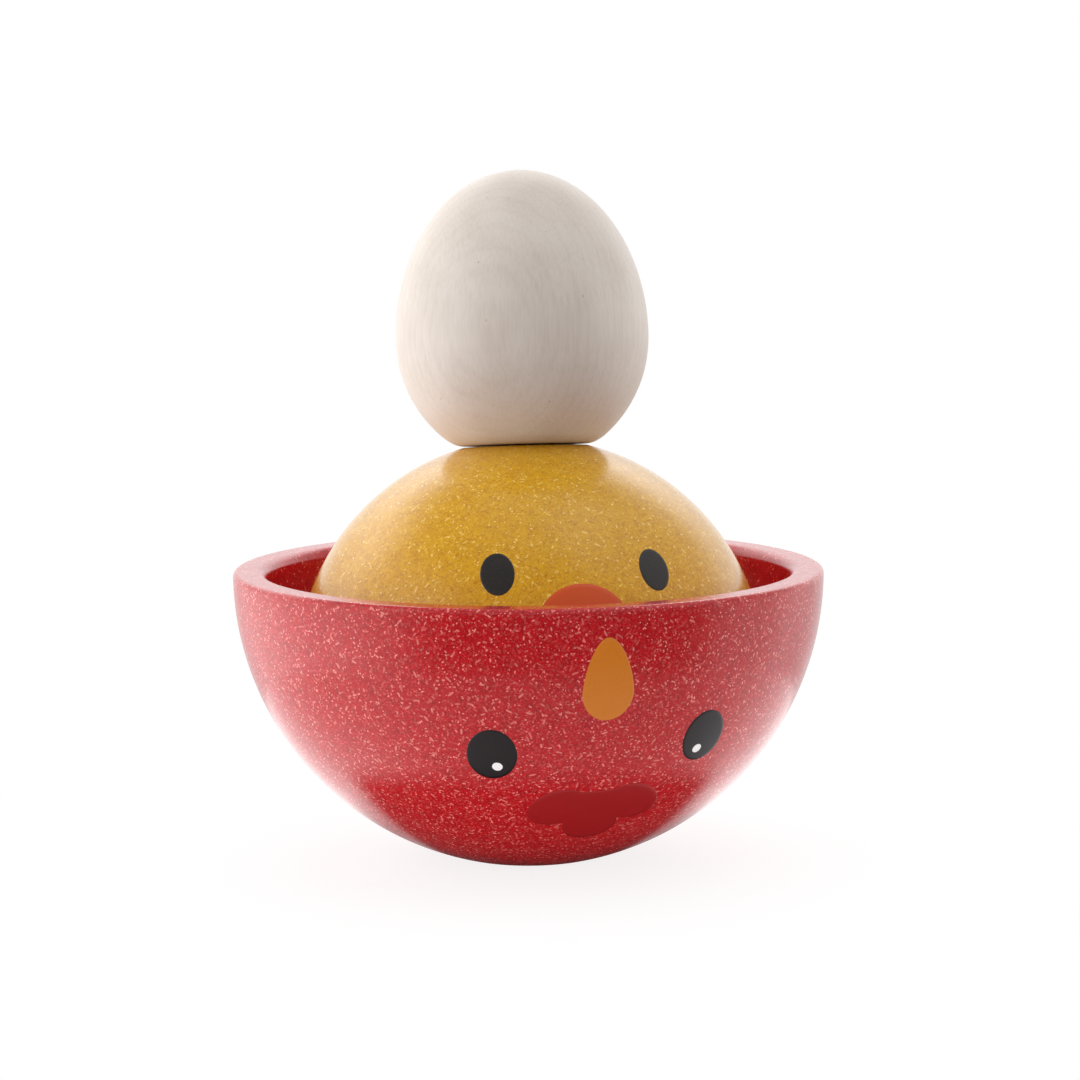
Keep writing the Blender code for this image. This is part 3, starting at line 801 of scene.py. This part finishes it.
def washed_wood(egg):
    """Turned wood under a thin white wash: fine upright grain, faint rings, small open pores."""
    material = bpy.data.materials.new("washed_wood")
    material.use_nodes = True
    nodes = Nodes(material.node_tree)
    shader = material.node_tree.nodes["Principled BSDF"]
    place = nodes.place_in_mm()
    upright = nodes.vector("MULTIPLY", place, (1.0, 1.0, GRAIN_STRETCH))
    fine = nodes.noise(upright, GRAIN_SCALE, detail=5.0, roughness=0.65)
    away = nodes.vector("SUBTRACT", nodes.vector("MULTIPLY", place, (1.0, 1.0, RING_STRETCH)), PITH)
    waver = nodes.math("MULTIPLY", nodes.noise(place, WAVER_SCALE), WAVER)
    wavy = nodes.math("ADD", nodes.reach(away), waver)
    ring = nodes.math("SINE", nodes.math("MULTIPLY", wavy, 2 * math.pi / RING_SPACING))
    rings = nodes.math("MULTIPLY", nodes.ramp(ring, *RING_EDGES), RING_DEPTH)
    streaks = nodes.math("MULTIPLY", nodes.ramp(fine, *GRAIN_EDGES), GRAIN_DEPTH)
    patches = nodes.ramp(nodes.noise(place, PATCH_SCALE, detail=2.0), *PATCH_EDGES, 0.0, PATCH_DEPTH)
    thin = nodes.math("ADD", nodes.math("ADD", streaks, rings), patches)
    wood = nodes.mix(thin, (*egg.wash, 1), (*egg.grain, 1))
    stretched = nodes.vector("MULTIPLY", place, (1.0, 1.0, PORE_STRETCH))
    pores = nodes.add("ShaderNodeTexVoronoi", {"Vector": stretched, "Scale": PORE_SCALE})
    deep = nodes.ramp(pores.outputs["Distance"], *PORE_EDGES)
    pored = nodes.mix(nodes.math("MULTIPLY", deep, PORE_DEPTH), wood, (*egg.pore, 1))
    nodes.tree.links.new(pored, shader.inputs["Base Color"])
    nodes.tree.links.new(nodes.ramp(fine, *WOOD_ROUGH, *WOOD_ROUGHNESS), shader.inputs["Roughness"])
    height = nodes.math("SUBTRACT", nodes.math("MULTIPLY", fine, GRAIN_RELIEF), deep)
    bump = nodes.add("ShaderNodeBump", {"Height": height, "Strength": 1.0, "Distance": WOOD_RELIEF / TO_MM})
    nodes.tree.links.new(bump.outputs["Normal"], shader.inputs["Normal"])
    return material


class NESTINGTOY_OT_egg(bpy.types.Operator):
    """Add the turned egg, which stands on the chick"""
    bl_idname = "nesting_toy.egg"
    bl_label = "Egg"

    def execute(self, context):
        scene = context.scene
        egg = scene.toy_egg
        add_piece("egg_turned", turned(egg_profile(egg)), washed_wood(egg),
                  egg_place(scene.toy_hen, scene.toy_chick), "egg", ["egg"])
        return {"FINISHED"}


# Lit parts of the room: from and to in azimuth, counted from the camera round to its right, lowest and
# highest elevation, softness of the edge, all in degrees, and strength
ROOM_LIGHTS = {
    "tall soft box on the left": (236, 312, -90, 44, 16, 1.38),
    "low glow on the left": (214, 292, -90, -4, 12, 0.75),
    "wall behind": (122, 240, -90, 20, 16, 0.72),
    "soft box high up behind": (142, 244, 22, 42, 15, 2.3),
    "low wall on the right": (76, 128, -90, 0, 14, 1.1),
    "wall on the right": (60, 142, 0, 50, 14, 0.5),
    "pale wall high on the right": (38, 130, 50, 80, 14, 0.85),
    "low wall in front": (300, 420, 8, 32, 12, 0.5),
    "ceiling": (-20, 380, 66, 120, 14, 0.5),
}
BELOW_TABLE = (-8, 0)       # where the dim room goes darker below the table, in degrees of elevation
BELOW_TABLE_SHADE = 0.4
TABLE_RADIUS = 0.12         # the round pale table ends short of the frame
TABLE_ROUGHNESS = 0.8
TABLE_LIGHT = 0.22          # the table glows, as if it were a pane lit from below, though no lamp is under it, and lights the low parts of the toy
TABLE_GLOW = (0.80, 1.0)    # how much plain white the camera sees on the table, near the toy and at its edge
TABLE_GLOW_REACH = (0.05, 0.12)
# The table as the toy mirrors it is a painted reflection, a glow that only glossy rays see: bright beside
# and behind the toy, darker in front of it, and painted shade under the bowl. A sector is its middle in
# degrees to the camera's right, and the cosines of the angle from it at which it starts and is full; a reach
# is from where to where it fades, in metres from the hen's axis
MIRRORED_SIDES = 1.6
MIRRORED_FRONT = (15, 0.26, 0.98)
MIRRORED_FRONT_SHADE = 0.38
UNDER_TOY_SECTOR = (2, 0.09, 0.40)
UNDER_TOY_REACH = (0.044, 0.056)
UNDER_TOY_SHADE = 0.04
AROUND_FOOT_REACH = (0.026, 0.046)
AROUND_FOOT_SHARE = 0.75    # how much of that painted shade there is all round the foot


def direction_from_camera(studio, degrees):
    """A level direction, counted from the one towards the camera round to its right."""
    turn = studio.camera_azimuth + math.radians(degrees)
    return Vector((math.sin(turn), -math.cos(turn), 0))


def add_table(studio):
    """A round pale table that keeps the toy's shadow and goes over into plain white for the camera; glossy
    rays see a painted reflection on it, with painted shade under the bowl.
    """
    bm = bmesh.new()
    bmesh.ops.create_circle(bm, cap_ends=True, segments=SEGMENTS, radius=TABLE_RADIUS)
    mesh = bpy.data.meshes.new("table")
    bm.to_mesh(mesh)
    bm.free()
    table = bpy.data.objects.new("table", mesh)
    bpy.context.scene.collection.objects.link(table)
    material = bpy.data.materials.new("pale_table")
    material.use_nodes = True
    nodes = Nodes(material.node_tree)
    shader = material.node_tree.nodes["Principled BSDF"]
    light_path = nodes.add("ShaderNodeLightPath").outputs
    place = nodes.add("ShaderNodeTexCoord").outputs["Object"]
    from_toy = nodes.reach(place)
    outward = nodes.vector("NORMALIZE", place)

    def sector(middle, start, full):
        return nodes.ramp(nodes.dot(outward, tuple(direction_from_camera(studio, middle))), start, full)

    shader.inputs["Base Color"].default_value = (*studio.table, 1)
    shader.inputs["Roughness"].default_value = TABLE_ROUGHNESS
    # The table glows though it is no lamp, and that glow lights the low parts of the toy
    shader.inputs["Emission Color"].default_value = (1, 1, 1, 1)
    shader.inputs["Emission Strength"].default_value = TABLE_LIGHT
    # Painted shade in the painted reflection: dark under the bowl in front of the toy, and all round its
    # foot
    in_front = sector(*UNDER_TOY_SECTOR)
    under_bowl = nodes.math("MULTIPLY", nodes.ramp(from_toy, *UNDER_TOY_REACH, 1.0, 0.0), in_front)
    around_foot = nodes.ramp(from_toy, *AROUND_FOOT_REACH, AROUND_FOOT_SHARE, 0.0)
    dark = nodes.math("MULTIPLY", nodes.math("MAXIMUM", under_bowl, around_foot), 1.0 - UNDER_TOY_SHADE)
    dim = nodes.math("MULTIPLY", sector(*MIRRORED_FRONT), 1.0 - MIRRORED_FRONT_SHADE)
    bright = nodes.math("MULTIPLY", nodes.math("SUBTRACT", 1.0, dim), MIRRORED_SIDES)
    painted_reflection_strength = nodes.math("MULTIPLY", bright, nodes.math("SUBTRACT", 1.0, dark))
    # The painted reflection that glossy rays see in place of the lit table
    painted_reflection = nodes.add("ShaderNodeEmission", {"Color": (1, 1, 1, 1), "Strength": painted_reflection_strength})
    lit = nodes.add("ShaderNodeMixShader", {0: light_path["Is Glossy Ray"], 1: shader.outputs["BSDF"],
                                            2: painted_reflection.outputs["Emission"]})
    glow = nodes.add("ShaderNodeEmission", {"Color": (1, 1, 1, 1), "Strength": 1.0})
    seen = nodes.math("MULTIPLY", light_path["Is Camera Ray"],
                      nodes.ramp(from_toy, *TABLE_GLOW_REACH, *TABLE_GLOW))
    both = nodes.add("ShaderNodeMixShader", {0: seen, 1: lit.outputs["Shader"], 2: glow.outputs["Emission"]})
    output = material.node_tree.nodes["Material Output"]
    nodes.tree.links.new(both.outputs["Shader"], output.inputs["Surface"])
    mesh.materials.append(material)


def lit_part(nodes, azimuth, elevation, box):
    """How bright one lit part of the room is in a direction, in degrees."""
    start, end, low, high, edge, strength = box
    half = (end - start) / 2
    off_middle = nodes.add("ShaderNodeMath", {0: nodes.math("SUBTRACT", azimuth, start + half), 1: 180.0,
                                              2: -180.0}, operation="WRAP").outputs["Value"]
    wide = nodes.ramp(nodes.math("ABSOLUTE", off_middle), half + edge, half - edge)
    over = nodes.ramp(elevation, low - edge, low + edge)
    under = nodes.ramp(elevation, high + edge, high - edge, 0.0, strength)
    return nodes.math("MULTIPLY", nodes.math("MULTIPLY", wide, over), under)


def light_room(studio):
    """A dim room with its lit parts, given by direction in the world, and plain white for the camera."""
    world = bpy.data.worlds.new("studio")
    world.use_nodes = True
    bpy.context.scene.world = world
    nodes = Nodes(world.node_tree)
    background = world.node_tree.nodes["Background"]
    towards = nodes.add("ShaderNodeTexCoord").outputs["Generated"]
    facing = nodes.dot(towards, tuple(direction_from_camera(studio, 0)))
    rightward = nodes.dot(towards, tuple(direction_from_camera(studio, 90)))
    azimuth = nodes.math("DEGREES", nodes.math("ARCTAN2", rightward, facing))
    height = nodes.add("ShaderNodeSeparateXYZ", {"Vector": towards}).outputs["Z"]
    elevation = nodes.math("DEGREES", nodes.math("ARCSINE", height))
    light = 0.0
    for box in ROOM_LIGHTS.values():
        light = nodes.math("ADD", light, lit_part(nodes, azimuth, elevation, box))
    dim = nodes.ramp(elevation, *BELOW_TABLE, BELOW_TABLE_SHADE * studio.room, studio.room)
    room = nodes.math("ADD", nodes.math("MULTIPLY", light, studio.light), dim)
    seen = nodes.add("ShaderNodeLightPath").outputs["Is Camera Ray"]
    strength = nodes.add("ShaderNodeMix", {"Factor": seen, "A": room, "B": 1.0}, data_type="FLOAT")
    background.inputs["Color"].default_value = (1, 1, 1, 1)
    nodes.tree.links.new(strength.outputs["Result"], background.inputs["Strength"])


def add_camera(studio):
    """The camera at the photograph's viewing angle."""
    data = bpy.data.cameras.new("camera")
    data.lens = studio.lens
    data.sensor_width = SENSOR_WIDTH
    camera = bpy.data.objects.new("camera", data)
    bpy.context.scene.collection.objects.link(camera)
    place = direction_from_camera(studio, 0) * studio.camera_distance
    place.z = studio.camera_height
    camera.matrix_world = (Matrix.Translation(place)
                           @ Matrix.Rotation(studio.camera_azimuth - studio.camera_yaw, 4, "Z")
                           @ Matrix.Rotation(math.pi / 2 - studio.camera_pitch, 4, "X")
                           @ Matrix.Rotation(studio.camera_roll, 4, "Z"))
    bpy.context.scene.camera = camera


class NESTINGTOY_OT_studio(bpy.types.Operator):
    """Add the table, the light of the room and the camera"""
    bl_idname = "nesting_toy.studio"
    bl_label = "Studio"

    def execute(self, context):
        studio = context.scene.toy_studio
        context.scene.view_settings.view_transform = "Standard"
        add_table(studio)
        light_room(studio)
        add_camera(studio)
        return {"FINISHED"}


class NESTINGTOY_PT_panel(bpy.types.Panel):
    """Lists the toy's pieces and their settings"""
    bl_label = "Chicken nesting toy"
    bl_idname = "NESTINGTOY_PT_panel"
    bl_space_type = "VIEW_3D"
    bl_region_type = "UI"
    bl_category = "Nesting Toy"

    def draw(self, context):
        for label, group, operators in SECTIONS:
            box = self.layout.box()
            box.label(text=label)
            for operator in operators:
                box.operator(operator.bl_idname)
            settings = getattr(context.scene, group)
            for name in settings.bl_rna.properties.keys():
                if name not in {"rna_type", "name"}:
                    box.prop(settings, name)


SECTIONS = (
    ("Hen", "toy_hen", (NESTINGTOY_OT_hen_shell, NESTINGTOY_OT_hen_face)),
    ("Chick", "toy_chick", (NESTINGTOY_OT_chick_shell, NESTINGTOY_OT_chick_face)),
    ("Egg", "toy_egg", (NESTINGTOY_OT_egg,)),
    ("Studio", "toy_studio", (NESTINGTOY_OT_studio,)),
)
SETTINGS = {"toy_hen": HenSettings, "toy_chick": ChickSettings, "toy_egg": EggSettings,
            "toy_studio": StudioSettings}
OPERATORS = [operator for section in SECTIONS for operator in section[2]]


def register():
    """Registers the settings, the operators and the panel."""
    for name, settings in SETTINGS.items():
        bpy.utils.register_class(settings)
        setattr(bpy.types.Scene, name, PointerProperty(type=settings))
    for cls in (*OPERATORS, NESTINGTOY_PT_panel):
        bpy.utils.register_class(cls)


def unregister():
    """Takes them out again, last first."""
    for cls in reversed((*OPERATORS, NESTINGTOY_PT_panel)):
        bpy.utils.unregister_class(cls)
    for name, settings in reversed(SETTINGS.items()):
        delattr(bpy.types.Scene, name)
        bpy.utils.unregister_class(settings)


def main():
    """Builds the toy and its studio."""
    register()
    bpy.ops.nesting_toy.hen_shell()
    bpy.ops.nesting_toy.hen_face()
    bpy.ops.nesting_toy.chick_shell()
    bpy.ops.nesting_toy.chick_face()
    bpy.ops.nesting_toy.egg()
    bpy.ops.nesting_toy.studio()


if __name__ == "__main__":
    main()
